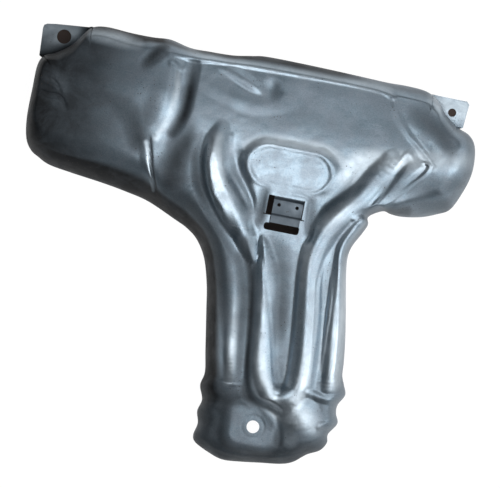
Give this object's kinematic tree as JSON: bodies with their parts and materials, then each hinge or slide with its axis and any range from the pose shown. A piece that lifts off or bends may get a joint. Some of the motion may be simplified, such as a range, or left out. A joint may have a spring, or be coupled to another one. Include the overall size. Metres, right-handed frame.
{
  "type": "exhaust heat shield",
  "caption": "T-shaped pressed steel heat shield for an exhaust manifold, with bulged arms, tubed stem, bolt ears, raised pad and a window with a small bracket behind it.",
  "frame": {"origin": "below the middle of the sheet's bounding box, on the plane of its rim", "axes": "+Z out of the outer face, +X towards the right ear along the line of the two ear holes, +Y towards the long edge of the arms"},
  "size_m": [0.409, 0.368, 0.0549],
  "materials": {
    "aluminised_sheet": "satin aluminised steel sheet, pressed, with scuffs",
    "bracket_steel": "darker bare steel strip"
  },
  "bodies": {
    "root": {"heat_shield": "aluminised_sheet", "window_bracket": "bracket_steel"}
  },
  "joints": []
}
